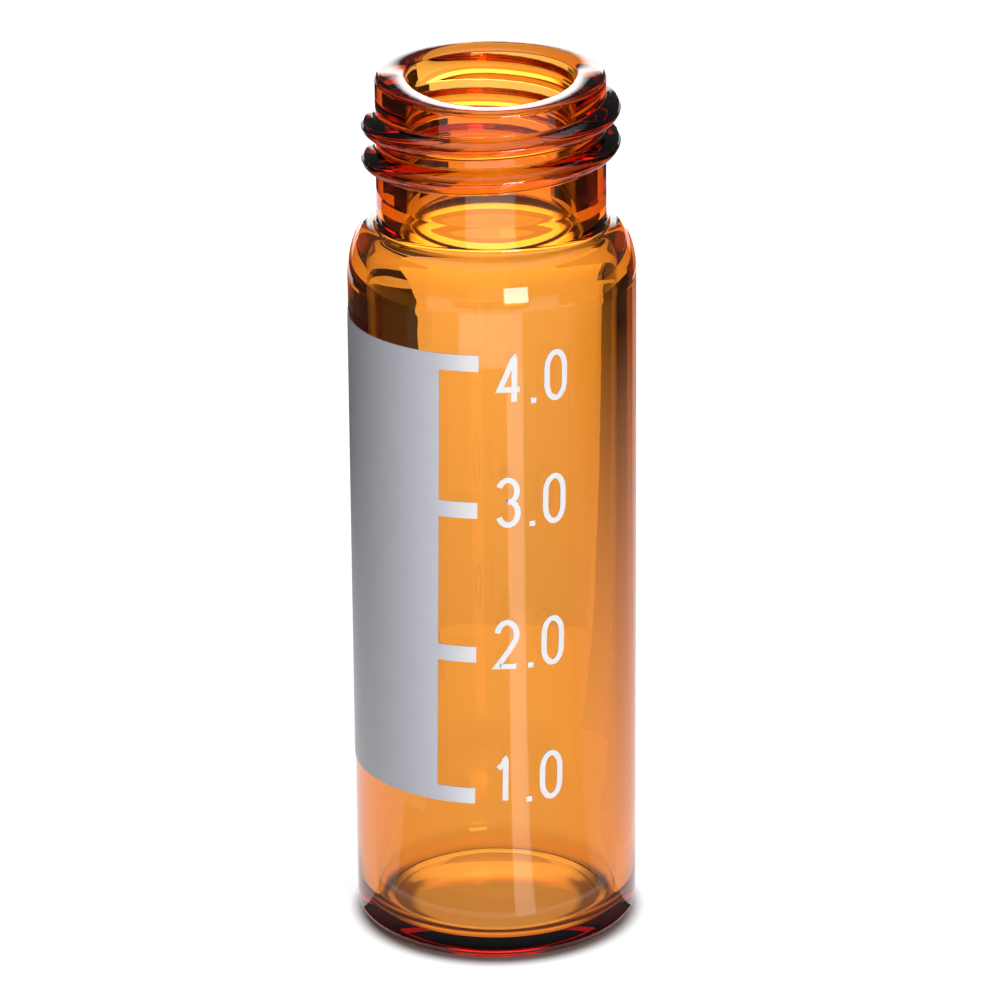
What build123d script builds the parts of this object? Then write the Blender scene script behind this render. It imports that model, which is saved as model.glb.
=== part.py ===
from build123d import *
import os
from math import cos, degrees, pi, sin

# Amber screw-neck sample vial, nominal 4 ml, in millimetres. It stands on the XY plane with its axis on Z.
# The middle of the print's numerals faces -Y.

# Glass body
height = 46.0
body_diameter = 14.75
wall = 1.003
heel_radius = 1.0
push_up = 0.4
foot_width = 0.7
base_thickness = 1.2
floor_bevel = 1.0

# Shoulder
finish_height = 7.85
shoulder_height = 2.8
throat_top_below_rim = 7.7
throat_diameter = 9.9
throat_bottom_below_rim = 8.75

# Neck and rim
neck_diameter = 11.7
neck_wall = 1.55
lip_bevel = 0.2
lip_radius = 0.6

# Screw thread: a bead with eased flanks, right handed, whose two ends sink into the neck at the back
thread_pitch = 1.75
bead_height = 0.7
bead_width = 1.2
bead_flank_height = 0.43
bead_flank_width = 0.96
bead_crest_width = 0.38
thread_turns = 2.0
runout_turns = 0.16
lower_bead_below_rim = 4.85
bead_root = 0.25
points_each_turn = 12

# Enamel print. Angles run round the vial from the front, positive to the right.
print_thickness = 0.05
graduations = 4
volume_step = 1000.0
first_bar_height = 9.5
bar_width = 0.85
bar_end_angle = -7.0
field_right_angle = -22.6
field_width = 12.0
bar_overlap_angle = 1.0

body_radius = body_diameter / 2
inner_radius = body_radius - wall
neck_radius = neck_diameter / 2
bore_radius = neck_radius - neck_wall
shoulder_top = height - finish_height
shoulder_bottom = shoulder_top - shoulder_height
bar_step = volume_step / (pi * inner_radius**2)
foot_radius = body_radius - heel_radius - foot_width


def glass_section():
    """Half section of the wall, from the middle of the base round the outside, over the lip and down the bore."""
    with BuildSketch(Plane.XZ) as section:
        with BuildLine():
            Polyline(
                (0, push_up),
                (foot_radius, 0),
                (body_radius, 0),
                (body_radius, shoulder_bottom),
            )
            EllipticalCenterArc(
                (neck_radius, shoulder_bottom),
                body_radius - neck_radius,
                shoulder_height,
                start_angle=0,
                arc_size=90,
            )
            Polyline(
                (neck_radius, shoulder_top),
                (neck_radius, height - lip_bevel),
                (neck_radius - lip_bevel, height),
                (bore_radius, height),
                (bore_radius, height - throat_top_below_rim),
                (throat_diameter / 2, height - throat_bottom_below_rim),
                (inner_radius, shoulder_bottom),
                (inner_radius, base_thickness + floor_bevel),
                (inner_radius - floor_bevel, base_thickness),
                (0, base_thickness),
                (0, push_up),
            )
        make_face()
        heel = section.vertices().sort_by_distance((body_radius, 0))[0]
        fillet(heel, heel_radius)
        inner_lip = section.vertices().sort_by_distance((bore_radius, height))[0]
        fillet(inner_lip, lip_radius)
    return section.sketch


def thread_bead():
    """Bead swept along a helix at the neck's surface. The helix dips into the wall at each end, so the bead runs out."""
    all_turns = thread_turns + 2 * runout_turns
    count = round(all_turns * points_each_turn)
    low_z = height - lower_bead_below_rim - runout_turns * thread_pitch
    points = []
    for step in range(count + 1):
        turns = all_turns * step / count
        share = min(turns, all_turns - turns, runout_turns) / runout_turns
        depth = (bead_height + bead_root / 2) * (1 + cos(pi * share)) / 2
        angle = 2 * pi * (turns - runout_turns) + pi / 2
        reach = neck_radius - depth
        points.append((reach * cos(angle), reach * sin(angle), low_z + turns * thread_pitch))
    path = Spline(points)
    start = path @ 0
    across = Vector(start.X, start.Y, 0).normalized()
    end_plane = Plane(origin=start, x_dir=across, z_dir=path % 0)
    with BuildSketch(end_plane) as bead:
        with BuildLine():
            Polyline(
                (-bead_root, -bead_width / 2),
                (0, -bead_width / 2),
                (bead_flank_height, -bead_flank_width / 2),
                (bead_height, -bead_crest_width / 2),
                (bead_height, bead_crest_width / 2),
                (bead_flank_height, bead_flank_width / 2),
                (0, bead_width / 2),
                (-bead_root, bead_width / 2),
                close=True,
            )
        make_face()
    return sweep(bead.sketch, path=path, is_frenet=True)


def glass_vial():
    """The whole glass: the turned wall with the thread bead fused to the neck."""
    turned_wall = revolve(glass_section(), Axis.Z)
    return turned_wall + thread_bead()


def print_sector(left_angle, right_angle, low_z, high_z):
    """One field of the print: a thin sector on the glass from left_angle to right_angle."""
    with BuildSketch(Plane.XZ) as strip:
        with Locations((body_radius, (low_z + high_z) / 2)):
            Rectangle(print_thickness, high_z - low_z, align=(Align.MIN, Align.CENTER))
    sector = revolve(strip.sketch, Axis.Z, right_angle - left_angle)
    return sector.rotate(Axis.Z, left_angle - 90)


def printed_scale():
    """Writing field on the left with one bar for each graduation running out of its right edge."""
    heights = [first_bar_height + step * bar_step for step in range(graduations)]
    low_z = heights[0] - bar_width / 2
    high_z = heights[-1] + bar_width / 2
    field_angle = degrees(field_width / body_radius)
    scale = print_sector(field_right_angle - field_angle, field_right_angle, low_z, high_z)
    bar_start_angle = field_right_angle - bar_overlap_angle
    for z in heights:
        scale += print_sector(bar_start_angle, bar_end_angle, z - bar_width / 2, z + bar_width / 2)
    return scale


os.makedirs("parts", exist_ok=True)
export_step(glass_vial(), "parts/glass_vial.step")
export_step(printed_scale(), "parts/printed_scale.step")
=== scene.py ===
import bpy
import numpy as np
from mathutils import Matrix, Vector


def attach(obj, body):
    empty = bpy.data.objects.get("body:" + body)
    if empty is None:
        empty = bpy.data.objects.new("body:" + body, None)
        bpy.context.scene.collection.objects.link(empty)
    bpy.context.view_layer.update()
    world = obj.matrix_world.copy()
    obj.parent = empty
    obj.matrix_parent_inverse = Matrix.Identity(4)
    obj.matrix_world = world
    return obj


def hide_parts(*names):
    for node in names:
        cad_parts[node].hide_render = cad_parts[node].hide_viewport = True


# Amber sample vial: clear brown glass, a two-turn screw bead, and a pale enamel scale on the front.
# Shapes are worked out in millimetres and turned into metres when a mesh is made.

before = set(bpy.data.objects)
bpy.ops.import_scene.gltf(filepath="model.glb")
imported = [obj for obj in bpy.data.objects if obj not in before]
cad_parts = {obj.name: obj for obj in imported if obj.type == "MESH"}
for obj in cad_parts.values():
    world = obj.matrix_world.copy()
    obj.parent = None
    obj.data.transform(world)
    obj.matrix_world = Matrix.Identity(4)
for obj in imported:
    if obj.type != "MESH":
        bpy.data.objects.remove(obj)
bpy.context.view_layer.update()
mm = 0.001


# A socket that arithmetic can be done on. Each operation adds one Math node.
class Wire:
    def __init__(self, shader, socket):
        self.shader = shader
        self.socket = socket

    def math(self, operation, *values, clamp=False):
        settings = {"operation": operation, "use_clamp": clamp}
        return self.shader.add("ShaderNodeMath", settings, *values)

    def __add__(self, other):
        return self.math("ADD", self, other)

    __radd__ = __add__

    def __sub__(self, other):
        return self.math("SUBTRACT", self, other)

    def __rsub__(self, other):
        return self.math("SUBTRACT", other, self)

    def __mul__(self, other):
        return self.math("MULTIPLY", self, other)

    __rmul__ = __mul__

    def __truediv__(self, other):
        return self.math("DIVIDE", self, other)

    def __rtruediv__(self, other):
        return self.math("DIVIDE", other, self)

    def __abs__(self):
        return self.math("ABSOLUTE", self)

    def root(self):
        return self.math("SQRT", self)

    def clamped(self):
        return self.math("ADD", self, 0.0, clamp=True)


# One material's or world's node tree, built from nothing.
class Shader:
    def __init__(self, owner):
        owner.use_nodes = True
        self.tree = owner.node_tree
        self.tree.nodes.clear()

    # Any node. Its settings come first, then the values or links of its sockets.
    def add(self, kind, settings, *inputs, output=0, **named):
        node = self.tree.nodes.new(kind)
        for name, value in settings.items():
            setattr(node, name, value)
        for index, value in enumerate(inputs):
            self.connect(value, node.inputs[index])
        for name, value in named.items():
            self.connect(value, node.inputs[name.replace("_", " ")])
        return Wire(self, node.outputs[output]) if len(node.outputs) else None

    # A wire is linked, a value is set, and None leaves the socket as it is.
    def connect(self, value, target):
        if isinstance(value, Wire):
            self.tree.links.new(value.socket, target)
        elif value is not None:
            target.default_value = value

    def place(self):
        return self.add("ShaderNodeTexCoord", {}, output="Object")

    def split(self, vector):
        x = self.add("ShaderNodeSeparateXYZ", {}, vector, output="X")
        outputs = x.socket.node.outputs
        return x, Wire(self, outputs["Y"]), Wire(self, outputs["Z"])

    def noise(self, vector, scale, detail):
        return self.add("ShaderNodeTexNoise", {}, Vector=vector, Scale=scale, Detail=detail)

    # From low to high while value goes from start to end, and level beyond them.
    def ramp(self, value, start, end, low=0.0, high=1.0, style="LINEAR"):
        settings = {"interpolation_type": style}
        return self.add("ShaderNodeMapRange", settings, value, start, end, low, high)

    # The Mix node's two colours are its seventh and eighth sockets.
    def blendColour(self, factor, low, high):
        unused = [None] * 5
        settings = {"data_type": "RGBA"}
        return self.add("ShaderNodeMix", settings, factor, *unused, low, high, output=2)

    def finish(self, surface, volume=None, kind="ShaderNodeOutputMaterial"):
        self.add(kind, {}, surface, volume)


# A mesh object from points in millimetres. The faces are one array of rows of corners, or a list of
# such arrays when their rows differ in length.
def makeObject(name, points, faces, material, smooth=True):
    mesh = bpy.data.meshes.new(name)
    groups = faces if isinstance(faces, list) else [faces]
    corners = np.concatenate([g.ravel() for g in groups]).astype(np.int32)
    sizes = np.concatenate([np.full(len(g), g.shape[1]) for g in groups]).astype(np.int32)
    starts = np.concatenate([[0], np.cumsum(sizes)[:-1]]).astype(np.int32)
    mesh.vertices.add(len(points))
    mesh.vertices.foreach_set("co", (np.asarray(points) * mm).astype(np.float32).ravel())
    mesh.loops.add(len(corners))
    mesh.loops.foreach_set("vertex_index", corners)
    mesh.polygons.add(len(sizes))
    mesh.polygons.foreach_set("loop_start", starts)
    mesh.polygons.foreach_set("use_smooth", np.full(len(sizes), smooth))
    mesh.update(calc_edges=True)
    mesh.validate()
    mesh.materials.append(material)
    item = bpy.data.objects.new(name, mesh)
    bpy.context.scene.collection.objects.link(item)
    return item


# Several meshes, each given as points and faces, as one: later faces count on from earlier points.
def joinParts(parts):
    points, faces, count = [], [], 0
    for partPoints, partFaces in parts:
        points.append(partPoints)
        faces.append(partFaces + count)
        count += len(partPoints)
    return np.concatenate(points), np.concatenate(faces)


# The throat is a line from the bore to the body's wall, of (radius, height above shoulderTop).
# Each wave in the drawn tube is (share, lobes round it, turn for each millimetre, phase).
glassSettings = dict(
    height=46.0,
    bodyRadius=7.375,
    wall=1.0,
    neckRadius=5.84,
    boreRadius=4.3,
    shoulderBottom=35.36,
    shoulderTop=38.14,
    neckRoot=0.3,
    throat=((4.3, 1.2), (4.4, 0.3), (4.85, -0.4), (5.5, -0.75), (6.05, -1.3), (6.3, -2.05)),
    throatEnd=2.85,
    throatFoot=0.8,  # below the shoulder's bottom, on the body's inner wall
    boreEnd=1.4,
    wallEnd=0.9,
    lipOutside=0.28,
    lipInside=(1.2, 0.24),
    rimSag=0.4,
    sagStart=43.6,
    sagSpan=2.0,
    heelRadius=1.0,
    footRadius=5.7,
    pushUp=0.4,
    innerPushUp=0.32,
    baseThickness=0.85,
    floorRadius=1.3,
    beadHeight=0.72,
    beadHalfWidth=0.64,
    beadPower=0.75,
    beadMargins=(0.3, 0.25),  # the least above the shoulder and below the rim
    beadStart=41.15,
    beadPitch=1.748,
    beadTurns=2.0,
    runout=0.16,
    waviness=0.012,
    waves=((1.0, 2, 0.07, 0.6), (0.6, 3, -0.11, 2.1)),
    waveFade=0.4,
    innerWaviness=0.8,
    innerWaves=(4.5, 34.0),  # only beyond this radius and below this height
    columns=224,
    smallestStep=0.02,
    index=1.5,
    absorption=(85.0, 560.0, 1600.0),  # red, green and blue, for each metre of glass
    rippleScale=260.0,
    rippleStrength=0.04,
    rippleHeight=0.2,
)


# How far the drawn tube lies inside its true cylinder: slow waves along and round it, added up and
# lifted so that they never reach outwards.
def bodyDip(angle, z):
    waves = glassSettings["waves"]
    total = sum(share for share, *_ in waves)
    parts = [
        share * np.sin(lobes * angle + turn * z + phase) for share, lobes, turn, phase in waves
    ]
    return glassSettings["waviness"] * (total + sum(parts)) / (2 * total)


# An ellipse's arc: its centre plus cosine and sine times the radii. Degrees from +x towards +z.
def arcPoints(centre, radii, start, end, count):
    angle = np.radians(np.linspace(start, end, count))
    x = centre[0] + radii[0] * np.cos(angle)
    z = centre[1] + radii[1] * np.sin(angle)
    return np.stack([x, z], axis=-1)


# Evenly spaced points from start to end, each a share of the way along.
def linePoints(start, end, count):
    share = np.linspace(0, 1, count)[:, None]
    return np.array(start) * (1 - share) + np.array(end) * share


# Rounds a line of points: every corner is cut at a quarter of its two sides, several times over.
def smoothCorners(points, rounds):
    points = np.array(points, float)
    for _ in range(rounds):
        near = points[:-1] * 0.75 + points[1:] * 0.25
        far = points[:-1] * 0.25 + points[1:] * 0.75
        cut = np.stack([near, far], axis=1).reshape(-1, 2)
        points = np.concatenate([points[:1], cut, points[-1:]])
    return points


# A pushed-up disc's half section: the rise fades from the middle to the edge, as 1 less the share
# squared, to the power 1.5.
def domePoints(radius, level, rise, share):
    return np.stack([radius * share, level + rise * (1 - share**2) ** 1.5], axis=-1)


# Half section from the middle of the underside, up the outside, over the lip and down to the
# inside's middle. Points that all but touch the one before are left out.
def glassProfile(g):
    outer, inner = g["bodyRadius"], g["bodyRadius"] - g["wall"]
    neck, bore = g["neckRadius"], g["boreRadius"]
    low, high, top = g["shoulderBottom"], g["shoulderTop"], g["height"]
    heel, root, lip, slope = g["heelRadius"], g["neckRoot"], g["lipOutside"], g["lipInside"]
    corner, base = g["floorRadius"], g["baseThickness"]
    throat = [(reach, high + rise) for reach, rise in g["throat"]]
    throat += [(inner, high - g["throatEnd"]), (inner, low - g["throatFoot"])]
    pieces = [
        domePoints(g["footRadius"], 0, g["pushUp"], np.linspace(0, 1, 10)),
        arcPoints((outer - heel, heel), (heel, heel), -90, 0, 12),
        linePoints((outer, heel), (outer, low), 40),
        arcPoints((neck + root, low), (outer - neck - root, high - low), 0, 90, 26),
        arcPoints((neck + root, high + root), (root, root), -90, -180, 7),
        linePoints((neck, high + root), (neck, top - lip), 150),
        arcPoints((neck - lip, top - lip), (lip, lip), 0, 90, 7),
        arcPoints((bore + slope[0], top - slope[1]), slope, 90, 180, 16),
        linePoints((bore, top - slope[1]), (bore, high + g["boreEnd"]), 14),
        smoothCorners(throat, 3),
        linePoints((inner, low - g["wallEnd"]), (inner, base + corner), 24),
        arcPoints((inner - corner, base + corner), (corner, corner), 0, -90, 14),
        domePoints(inner - corner, base, g["innerPushUp"], np.linspace(1, 0, 12)),
    ]
    points = np.concatenate(pieces)
    step = np.linalg.norm(np.diff(points, axis=0), axis=1)
    return points[np.concatenate([[True], step > g["smallestStep"]])]


# How far the thread's bead stands off the neck: round across its width, and eased at both ends.
# Each turn of the helix is worked out on its own and the highest counts. Angles start at +X.
def beadLift(angle, z, g):
    lift = np.zeros(np.broadcast(angle, z).shape)
    for turn in range(-1, 4):
        turns = (angle - np.pi / 2) / (2 * np.pi) + turn
        fromEnd = np.minimum(turns + g["runout"], g["beadTurns"] + g["runout"] - turns)
        share = np.clip(fromEnd / g["runout"], 0, 1)
        ease = share * share * (3 - 2 * share)
        offset = (z - g["beadStart"] - g["beadPitch"] * turns) / g["beadHalfWidth"]
        section = np.clip(1 - offset**2, 0, 1) ** g["beadPower"]
        lift = np.maximum(lift, g["beadHeight"] * ease * section)
    return lift


# The half section turned round the axis, less the tube's waves and plus the bead on the neck. The
# fire-polished rim sags towards the front by a power of the sine. The two middles close as fans.
def makeGlass(material):
    g = glassSettings
    profile = glassProfile(g)[1:-1]
    rows, columns = len(profile), g["columns"]
    angle = np.linspace(0, 2 * np.pi, columns, endpoint=False)[None, :]
    reach, z = profile[:, :1], profile[:, 1:]
    outside = np.arange(rows)[:, None] < np.argmax(profile[:, 1])
    overShoulder, underRim = g["beadMargins"]
    onNeck = outside & (z > g["shoulderTop"] + overShoulder) & (z < g["height"] - underRim)
    offNeck = np.clip((reach - g["neckRadius"]) / g["waveFade"], 0, 1)
    radius, height = g["innerWaves"]
    insideBody = (reach > radius) & (z < height)
    wavy = np.where(outside, offNeck, g["innerWaviness"] * insideBody)
    full = reach - wavy * bodyDip(angle, z)
    full = full + np.where(onNeck, beadLift(angle, z, g), 0.0)
    nearRim = np.clip((z - g["sagStart"]) / g["sagSpan"], 0, 1)
    z = z - g["rimSag"] * np.clip(-np.sin(angle), 0, 1) ** 1.5 * nearRim
    ring = [full * np.cos(angle), full * np.sin(angle), z + 0 * angle]
    middles = [[0, 0, g["pushUp"]], [0, 0, g["innerPushUp"] + g["baseThickness"]]]
    points = np.concatenate([np.stack(ring, axis=-1).reshape(-1, 3), middles])
    index = np.arange(rows * columns).reshape(rows, columns)
    after = np.roll(index, -1, axis=1)
    corners = [index[:-1], after[:-1], after[1:], index[1:]]
    quads = np.stack(corners, axis=-1).reshape(-1, 4)
    bottomFan = np.stack([np.full(columns, rows * columns), after[0], index[0]], axis=-1)
    insideFan = np.stack([np.full(columns, rows * columns + 1), index[-1], after[-1]], axis=-1)
    return makeObject("amber_vial", points, [quads, bottomFan, insideFan], material)


# Clear glass that is coloured by what it absorbs on the way through, with a faint ripple.
def glassMaterial():
    g = glassSettings
    material = bpy.data.materials.new("amber_glass")
    s = Shader(material)
    ripple = s.noise(s.place(), g["rippleScale"], 2.0)
    bump = s.add(
        "ShaderNodeBump",
        {},
        Strength=g["rippleStrength"],
        Distance=g["rippleHeight"] * mm,
        Height=ripple,
    )
    surface = s.add(
        "ShaderNodeBsdfPrincipled",
        {},
        Base_Color=(1, 1, 1, 1),
        Roughness=0.0,
        IOR=g["index"],
        Transmission_Weight=1.0,
        Normal=bump,
    )
    # The node absorbs density times (1 - colour), so the colour is 1 - wanted / density.
    density = max(g["absorption"])
    colour = tuple(1 - wanted / density for wanted in g["absorption"]) + (1,)
    volume = s.add("ShaderNodeVolumeAbsorption", {}, Color=colour, Density=density)
    s.finish(surface, volume)
    return material


# Lengths run along the glass from its front, positive to the right. signPlaces gives the left edge
# and outer width of a row's digit, point and nought.
printSettings = dict(
    colour=(0.52, 0.52, 0.58),
    mottle=(0.93, 1.05),
    mottleScale=900.0,
    # The painted shade that darkens the enamel round to the left: its share of the colour and its
    # span.
    paintedShadeShare=(0.55, 0.54, 0.54),
    paintedShadeSpan=(-7.4, -3.0),
    # Paler towards the bars' ends and the numerals: the colour, its share and its span across the
    # vial.
    paleColour=(0.9, 0.88, 0.86),
    paleShare=0.6,
    paleSpan=(-2.9, -1.0),
    reliefStrength=0.25,
    reliefHeight=0.01,
    thickness=0.04,
    embed=0.01,
    lean=0.0158,
    leanHeight=21.0,
    rowHeights=(9.5, 17.34, 25.18, 33.02),
    barWidth=0.86,
    barEnd=-0.9,
    fieldRight=-2.92,
    fieldWidth=12.0,
    numeralLeft=0.02,
    numeralHeight=2.7,
    strokeWidth=0.29,
    numeralLifts=(0.97, 0.57, 0.43, -0.83),
    signPlaces=((0.0, 1.27), (1.72, 0.29), (2.42, 1.25)),
)


# Points at arc millimetres round the body from the front, height z, and out millimetres off the
# glass: the angle is the arc over the body's radius.
def onVial(arc, z, out):
    bodyRadius = glassSettings["bodyRadius"]
    angle = arc / bodyRadius
    reach = bodyRadius - bodyDip(angle - np.pi / 2, z) + out
    return np.stack([reach * np.sin(angle), -reach * np.cos(angle), z + 0 * angle], axis=-1)


# The print leans a little: its top is further right, in proportion to height.
def leanArc(arc, z):
    return arc + printSettings["lean"] * (z - printSettings["leanHeight"])


# A thin closed sheet wrapped on the glass, covering the filled cells of a grid: an outer and an
# inner face for each filled cell, and a side wherever the next cell is empty.
def maskedSheet(columnEdges, rowEdges, filled, inner, outer):
    arc, z = np.meshgrid(columnEdges, rowEdges)
    arc = leanArc(arc, z)
    layers = [onVial(arc, z, out).reshape(-1, 3) for out in (inner, outer)]
    count = arc.size
    index = np.arange(count).reshape(arc.shape)
    a, b, c, d = index[:-1, :-1], index[:-1, 1:], index[1:, 1:], index[1:, :-1]
    quads = [
        np.stack([a, b, c, d], axis=-1)[filled] + count,
        np.stack([a, d, c, b], axis=-1)[filled],
    ]
    padded = np.pad(filled, 1)
    sides = [
        (padded[:-2, 1:-1], a, b),
        (padded[1:-1, 2:], b, c),
        (padded[2:, 1:-1], c, d),
        (padded[1:-1, :-2], d, a),
    ]
    for beyond, first, second in sides:
        edge = filled & ~beyond
        p, q = first[edge], second[edge]
        quads.append(np.stack([p, q, q + count, p + count], axis=-1))
    faces = np.concatenate(quads)
    points = np.concatenate(layers)
    used = np.unique(faces)
    renumber = np.zeros(len(points), int)
    renumber[used] = np.arange(len(used))
    return points[used], renumber[faces]


# The writing field and its four bars: a grid's cells left of the field's right edge, and those
# within half a bar of a row's height.
def makeField(material):
    p = printSettings
    half = p["barWidth"] / 2
    edges = np.sort([z + side for z in p["rowHeights"] for side in (-half, half)])
    bands = [np.linspace(low, high, 9) for low, high in zip(edges[:-1], edges[1:])]
    rowEdges = np.unique(np.concatenate(bands))
    left = np.linspace(p["fieldRight"] - p["fieldWidth"], p["fieldRight"], 61)
    right = np.linspace(p["fieldRight"], p["barEnd"], 13)[1:]
    columnEdges = np.concatenate([left, right])
    middles = (rowEdges[:-1] + rowEdges[1:]) / 2
    inBar = np.min(np.abs(middles[:, None] - np.array(p["rowHeights"])), axis=1) < half
    inField = (columnEdges[:-1] + columnEdges[1:]) / 2 < p["fieldRight"]
    filled = inBar[:, None] | inField[None, :]
    points, faces = maskedSheet(columnEdges, rowEdges, filled, -p["embed"], p["thickness"])
    return makeObject("enamel_field", points, faces, material, smooth=False)


# Middle lines of a sign's strokes, each with whether it closes, in a box w wide and h high that is
# measured between the strokes' middle lines. Round strokes are ellipses' arcs.
def digitPaths(character, w, h):
    if character == "0":
        side = 0.16 * h
        radii = (w / 2, h / 2 - side)
        top = arcPoints((w / 2, h / 2 + side), radii, 0, 180, 15)
        bottom = arcPoints((w / 2, h / 2 - side), radii, 180, 360, 15)
        return [(np.concatenate([top, bottom]), True)]
    if character == "1":
        flag = [(0.12 * w, h * 0.74), (0.38 * w, 0.84 * h), (0.5 * w, h)]
        return [(np.array(flag + [(0.5 * w, 0)]), False)]
    if character == "2":
        top = arcPoints((w / 2, h * 0.72), (w / 2, h * 0.28), 172, -28, 17)
        foot = [(0.62 * w, 0.36 * h), (0.0, 0.0), (w, 0.0)]
        return [(np.concatenate([top, foot]), False)]
    if character == "3":
        waist = [(0.4 * w, 0.525 * h)]
        upper = arcPoints((w * 0.47, h * 0.755), (w * 0.47, h * 0.245), 160, -72, 15)
        lower = arcPoints((w * 0.5, h * 0.265), (w * 0.5, h * 0.265), 76, -160, 17)
        return [(np.concatenate([upper, waist]), False), (np.concatenate([waist, lower]), False)]
    if character == "4":
        stem = [(0.74 * w, h), (0.74 * w, 0.0)]
        return [(np.array([(1.02 * w, 0.27 * h), (0.0, 0.27 * h)] + stem), False)]
    return [(np.array([(0.0, -0.14), (0.0, 0.14)]), False)]


# The same path with extra points, so that no step is longer than reach.
def finerPath(path, closed, reach=0.15):
    ends = np.concatenate([path, path[:1]]) if closed else path
    pieces = []
    for start, end in zip(ends[:-1], ends[1:]):
        count = max(1, int(np.ceil(np.linalg.norm(end - start) / reach)))
        pieces.append(linePoints(start, end, count + 1)[:-1])
    return np.concatenate(pieces if closed else pieces + [ends[-1:]])


# A flat ribbon of one width along a path, wrapped on the glass. At each point it spreads along the
# mitre, which is the sum of the two sides' directions turned a quarter, no longer than the limit.
def strokeMesh(path, closed, width, inner, outer, mitreLimit=0.35):
    path = finerPath(path, closed)
    ahead = np.roll(path, -1, axis=0) - path
    behind = path - np.roll(path, 1, axis=0)
    if not closed:
        ahead[-1] = behind[-1]
        behind[0] = ahead[0]
    ahead = ahead / np.linalg.norm(ahead, axis=1)[:, None]
    behind = behind / np.linalg.norm(behind, axis=1)[:, None]
    across = np.stack([-(ahead + behind)[:, 1], (ahead + behind)[:, 0]], axis=-1)
    across = across / np.maximum(1 + np.sum(ahead * behind, axis=1), mitreLimit)[:, None]
    left, right = path + across * width / 2, path - across * width / 2
    rails = ((left, inner), (right, inner), (right, outer), (left, outer))
    rings = [onVial(leanArc(side[:, 0], side[:, 1]), side[:, 1], out) for side, out in rails]
    points = np.stack(rings, axis=1).reshape(-1, 3)
    count = len(path)
    index = np.arange(4 * count).reshape(count, 4)
    if closed:
        index = np.concatenate([index, index[:1]])
    around = np.roll(index, -1, axis=1)
    quads = np.stack([index[:-1], around[:-1], around[1:], index[1:]], axis=-1).reshape(-1, 4)
    if not closed:
        quads = np.concatenate([quads, [index[0][::-1]], [index[-1]]])
    return points, quads


# The numerals 1.0 to 4.0, one beside each bar.
def makeNumerals(material):
    p = printSettings
    parts = []
    stroke = p["strokeWidth"]
    h = p["numeralHeight"] - stroke
    for number, (row, lift) in enumerate(zip(p["rowHeights"], p["numeralLifts"]), start=1):
        base = row - p["numeralHeight"] / 2 + stroke / 2 + lift
        for character, (left, signWidth) in zip(f"{number}.0", p["signPlaces"]):
            for path, closed in digitPaths(character, signWidth - stroke, h):
                placed = path + [p["numeralLeft"] + left + stroke / 2, base]
                parts.append(strokeMesh(placed, closed, stroke, -p["embed"], p["thickness"]))
    points, faces = joinParts(parts)
    return makeObject("enamel_numerals", points, faces, material, smooth=False)


# Pale enamel with a fine mottle. Painted shade darkens it round to the left, and it is paler at the
# numerals, each by a ramp across the vial.
def enamelMaterial():
    p = printSettings
    material = bpy.data.materials.new("enamel_print")
    s = Shader(material)
    place = s.place()
    mottle = s.noise(place, p["mottleScale"], 3.0)
    darker, paler = (tuple(c * share for c in p["colour"]) + (1,) for share in p["mottle"])
    # Painted shade: the enamel's colour darkened round to the left of the vial.
    paintedShadeColour = tuple(c * share for c, share in zip(p["colour"], p["paintedShadeShare"])) + (1,)
    across, _, _ = s.split(place)
    paintedShade = s.ramp(across, *(edge * mm for edge in p["paintedShadeSpan"]))
    paleRamp = s.ramp(across, *(edge * mm for edge in p["paleSpan"]), 0.0, p["paleShare"])
    even = s.blendColour(mottle, darker, paler)
    dense = s.blendColour(paleRamp, even, p["paleColour"] + (1,))
    colour = s.blendColour(paintedShade, paintedShadeColour, dense)
    strength, height = p["reliefStrength"], p["reliefHeight"] * mm
    bump = s.add("ShaderNodeBump", {}, Strength=strength, Distance=height, Height=mottle)
    surface = s.add(
        "ShaderNodeBsdfPrincipled", {}, Base_Color=colour, Roughness=0.3, IOR=1.5, Normal=bump
    )
    s.finish(surface)
    return material


# The studio is not part of the vial. The painted shadow ring and the painted shade crescents are
# distances from the axis, and the spans are shares of that distance. Each edge is (a direction's
# coordinate, its sharpness).
studioSettings = dict(
    floorSize=6.0,
    floorColour=(0.5, 0.5, 0.5),
    floorGlow=0.8,
    darkPaint=(0.012, 0.01, 0.01),
    shadowRing=(5.8, 6.6, 6.9, 8.0),
    middleGlow=0.9,
    shadeCrescents=(4.1, 4.7),
    shadeCrescentSpan=(0.6, 0.85),
    shadeCrescentDepth=0.75,
    behindSpan=(0.3, 0.8),
    behindGlow=0.9,
    patchLift=0.02,
    patchStep=4.0,
    overhead=1.2,
    backdrop=1.0,
    shine=4.0,
    front=0.3,
    sides=0.08,
    overheadEdge=(0.72, 8.0),
    lowEdge=(0.36, 16.0),
    narrowEdge=(0.26, 12.0),
    backdropEdge=(0.07, 20.0),
    halfSharpness=50.0,
)

# Upright cards: azimuth in degrees from the back to the right, distance, width, bottom, top, glow.
studioCards = dict(
    card_front=(181.0, 150.0, 170.0, 12.0, 32.0, 0.0),
    card_lamp=(161.7, 151.0, 49.0, 26.0, 72.0, 14.0),
)

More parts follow.
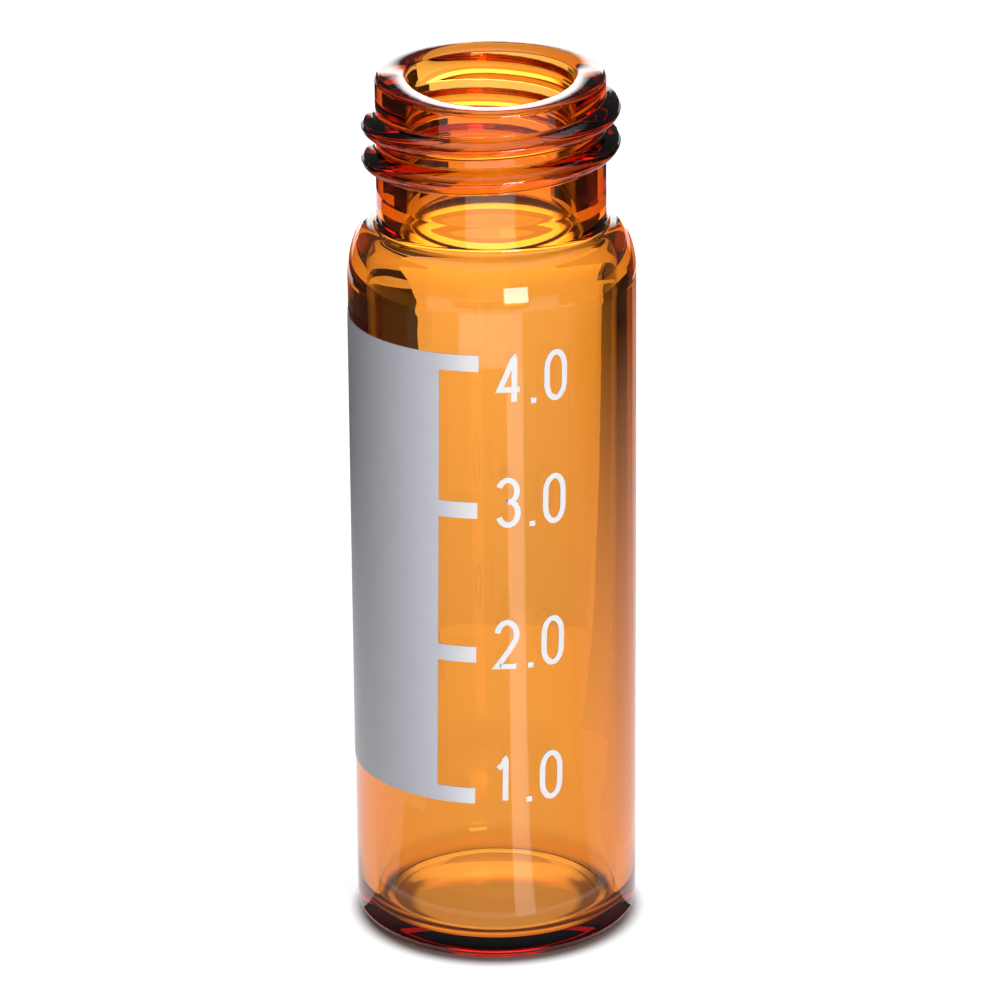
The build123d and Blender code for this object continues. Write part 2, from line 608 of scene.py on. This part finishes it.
# Patches lying on the floor: azimuth from and to, nearest and furthest reach, the glow at each.
# Mirrors are seen only in reflections, and strips light what lies about them too.
floorPatches = dict(
    patch_near_left=(-38.0, -8.0, 32.0, 72.0, 1.0, 0.04),
    patch_back_left=(-38.0, -8.0, 72.0, 113.0, 0.04, 0.04),
    patch_neck_left=(-38.0, -8.0, 127.0, 175.0, 0.0, 0.0),
    patch_left=(-128.0, -38.0, 25.0, 80.0, 1.0, 0.02),
    patch_far_left=(-128.0, -38.0, 80.0, 175.0, 0.02, 0.0),
    patch_grey=(18.0, 34.0, 25.0, 113.0, 1.0, 0.1),
    patch_neck_right=(14.0, 34.0, 119.0, 240.0, 0.05, 0.0),
    patch_right=(34.0, 114.0, 15.0, 100.0, 1.0, 0.0),
    patch_far_right=(34.0, 114.0, 100.0, 175.0, 0.02, 0.0),
    # A painted shadow: a dark patch just outside the foot, seen in and through the glass as the
    # contact shade.
    painted_shadow_foot=(95.0, 265.0, 7.6, 12.9, 0.0, 0.5),
    mirror_left=(-128.0, -30.0, 175.5, 2500.0, 0.0, 0.0),
    mirror_right=(34.0, 128.0, 175.5, 2500.0, 0.0, 0.0),
    mirror_front=(169.5, 206.0, 13.5, 99.5, 0.35, 0.35),
    mirror_front_left=(206.0, 250.0, 13.5, 149.0, 0.35, 0.35),
    mirror_front_right=(110.0, 156.5, 13.5, 149.0, 0.35, 0.35),
    patch_back=(-8.0, 16.0, 40.0, 240.0, 0.95, 1.75),
    mirror_back=(-20.0, 20.0, 241.0, 2900.0, 3.0, 3.0),
    strip_streak=(157.0, 169.0, 13.0, 100.0, 2.6, 2.6),
    strip_far=(158.0, 205.0, 100.0, 148.0, 2.2, 2.2),
)


# Distance from the vial's axis over the floor: the root of the squares' sum.
def floorReach(x, y):
    return (x * x + y * y).root()


# Dull paint that also glows: the colour lit, times the strength.
def glowingPaint(s, colour, lit, strength):
    return s.add(
        "ShaderNodeBsdfPrincipled",
        {},
        Base_Color=colour + (1,),
        Roughness=0.9,
        Emission_Color=lit,
        Emission_Strength=strength,
    )


# Pale paint that glows, with a painted shadow: its glow fades in a ring under the vial's edge,
# where only reflected light is left. Two crescents of painted shade under the foot, left and right,
# stay darker, and the painted shadow ring is open at the back.
def floorMaterial(st):
    material = bpy.data.materials.new("floor_glow_and_painted_shadow")
    s = Shader(material)
    x, y, _ = s.split(s.place())
    reach = floorReach(x, y)
    fadeStart, fadeEnd, riseStart, riseEnd = (limit * mm for limit in st["shadowRing"])
    inside = s.ramp(reach, fadeStart, fadeEnd, st["middleGlow"], 0.0, "SMOOTHSTEP")
    outside = s.ramp(reach, riseStart, riseEnd, style="SMOOTHSTEP")
    # Painted shade: two darker crescents on the floor under the foot, left and right.
    depth = st["shadeCrescentDepth"]
    beside = s.ramp(abs(x) / reach, *st["shadeCrescentSpan"], 0.0, depth, "SMOOTHSTEP")
    shadeCrescent = s.ramp(reach, *(limit * mm for limit in st["shadeCrescents"]), style="SMOOTHSTEP")
    inside = inside * (1.0 - beside * shadeCrescent)
    behind = s.ramp(y / reach, *st["behindSpan"], 0.0, st["behindGlow"], "SMOOTHSTEP")
    lit = s.blendColour((inside + outside + behind).clamped(), (0, 0, 0, 1), (1, 1, 1, 1))
    s.finish(glowingPaint(s, st["floorColour"], lit, st["floorGlow"]))
    return material


# Dark paint whose glow changes evenly from the near edge to the far edge.
def patchMaterial(name, near, far, nearGlow, farGlow):
    material = bpy.data.materials.new(name)
    s = Shader(material)
    x, y, _ = s.split(s.place())
    share = s.ramp(floorReach(x, y), near * mm, far * mm)
    lit = s.blendColour(share, (nearGlow,) * 3 + (1,), (farGlow,) * 3 + (1,))
    s.finish(glowingPaint(s, studioSettings["darkPaint"], lit, 1.0))
    return material


# Dark paint with one glow all over.
def cardMaterial(name, glow):
    material = bpy.data.materials.new(name)
    s = Shader(material)
    s.finish(glowingPaint(s, studioSettings["darkPaint"], (1, 1, 1, 1), glow))
    return material


# An upright card facing the vial: half its width to each side of the point at its azimuth.
def makeCard(name, azimuth, distance, width, low, high, material):
    direction = np.radians(azimuth)
    out = np.array([np.sin(direction), np.cos(direction)])
    side = np.array([out[1], -out[0]])
    first, last = out * distance - side * width / 2, out * distance + side * width / 2
    points = [(*first, low), (*last, low), (*last, high), (*first, high)]
    card = makeObject(name, np.array(points), np.array([[0, 1, 2, 3]]), material, smooth=False)
    card.visible_camera = False


# A sector of a ring lying just over the floor: its near and far edges joined face by face.
def makePatch(name, start, end, near, far, material):
    st = studioSettings
    count = max(2, round((end - start) / st["patchStep"]))
    angle = np.radians(np.linspace(start, end, count + 1))[:, None]
    ring = np.concatenate([np.sin(angle), np.cos(angle), 0 * angle], axis=1)
    points = np.concatenate([ring * near, ring * far]) + [0, 0, st["patchLift"]]
    index = np.arange(count)
    after = index + count + 1
    quads = np.stack([index, after, after + 1, index + 1], axis=-1)
    patch = makeObject(name, points, quads, material, smooth=False)
    patch.visible_camera = False
    patch.visible_shadow = False
    patch.visible_diffuse = name.startswith("strip")
    patch.visible_transmission = not name.startswith("mirror")


def makeStudio():
    st = studioSettings
    half = st["floorSize"] / 2 / mm
    corners = np.array([(-half, -half, 0), (half, -half, 0), (half, half, 0), (-half, half, 0)])
    floor = makeObject("floor", corners, np.array([[0, 1, 2, 3]]), floorMaterial(st), smooth=False)
    for name, (start, end, near, far, nearGlow, farGlow) in floorPatches.items():
        material = patchMaterial(name, near, far, nearGlow, farGlow)
        makePatch(name, start, end, near, far, material)
    for name, (azimuth, distance, width, low, high, glow) in studioCards.items():
        makeCard(name, azimuth, distance, width, low, high, cardMaterial(name, glow))


# 0 below an edge and 1 above it, or the other way round, as soft as its sharpness makes it.
def above(value, edge):
    return ((value - edge[0]) * edge[1]).clamped()


def below(value, edge):
    return ((edge[0] - value) * edge[1]).clamped()


# White where the camera sees it. As light it is bright overhead and behind, dim in front, and dark
# low at the sides. Reflections find the backdrop brighter, which whitens the rim.
def makeWorld():
    st = studioSettings
    world = bpy.data.worlds.new("studio")
    bpy.context.scene.world = world
    s = Shader(world)
    x, y, z = s.split(s.add("ShaderNodeTexCoord", {}, output="Generated"))
    over = above(z, st["overheadEdge"])
    narrow = below(abs(x), st["narrowEdge"]) * below(z, st["lowEdge"])
    back = narrow * (y * st["halfSharpness"]).clamped()
    front = narrow * (y * -st["halfSharpness"]).clamped()
    glossy = s.add("ShaderNodeLightPath", {}, output="Is Glossy Ray")
    lifted = above(z, st["backdropEdge"]) * st["backdrop"]
    behind = back * (lifted + glossy * (st["shine"] - lifted))
    level = st["sides"] + over * (st["overhead"] - st["sides"]) + behind + front * st["front"]
    seen = s.add("ShaderNodeLightPath", {}, output="Is Camera Ray")
    surface = s.add("ShaderNodeBackground", {}, (1, 1, 1, 1), seen + (1.0 - seen) * level)
    s.finish(surface, kind="ShaderNodeOutputWorld")


# Found from the photo's outlines of the rim, shoulder and foot. Lengths in mm, angles in radians.
cameraSettings = dict(
    distance=265.02, height=123.92, pitch=0.3640, yaw=0.0012, roll=-0.0075, lens=197.46
)


# The view's direction from yaw and pitch, its right and up by cross products, then the roll.
def makeCamera():
    c = cameraSettings
    yaw, pitch, roll = c["yaw"], c["pitch"], c["roll"]
    level = np.cos(pitch)
    ahead = Vector((np.sin(yaw) * level, np.cos(yaw) * level, -np.sin(pitch)))
    right = ahead.cross(Vector((0, 0, 1))).normalized()
    up = right.cross(ahead)
    rolledRight = np.cos(roll) * right + np.sin(roll) * up
    rolledUp = -np.sin(roll) * right + np.cos(roll) * up
    data = bpy.data.cameras.new("camera")
    data.sensor_width = 36.0
    data.lens = c["lens"]
    data.clip_start = 0.01
    data.clip_end = 50.0
    camera = bpy.data.objects.new("camera", data)
    axes = Matrix((rolledRight, rolledUp, -ahead)).transposed().to_4x4()
    place = Vector((0, -c["distance"], c["height"])) * mm
    camera.matrix_world = Matrix.Translation(place) @ axes
    bpy.context.scene.collection.objects.link(camera)
    bpy.context.scene.camera = camera


print("glass")
vial = makeGlass(glassMaterial())
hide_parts("glass_vial")
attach(vial, "root")

print("enamel")
enamel = enamelMaterial()
field = makeField(enamel)
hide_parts("printed_scale")
numerals = makeNumerals(enamel)
for piece in (field, numerals):
    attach(piece, "root")

print("studio")
makeStudio()
makeWorld()
makeCamera()
bpy.context.scene.view_settings.view_transform = "Standard"
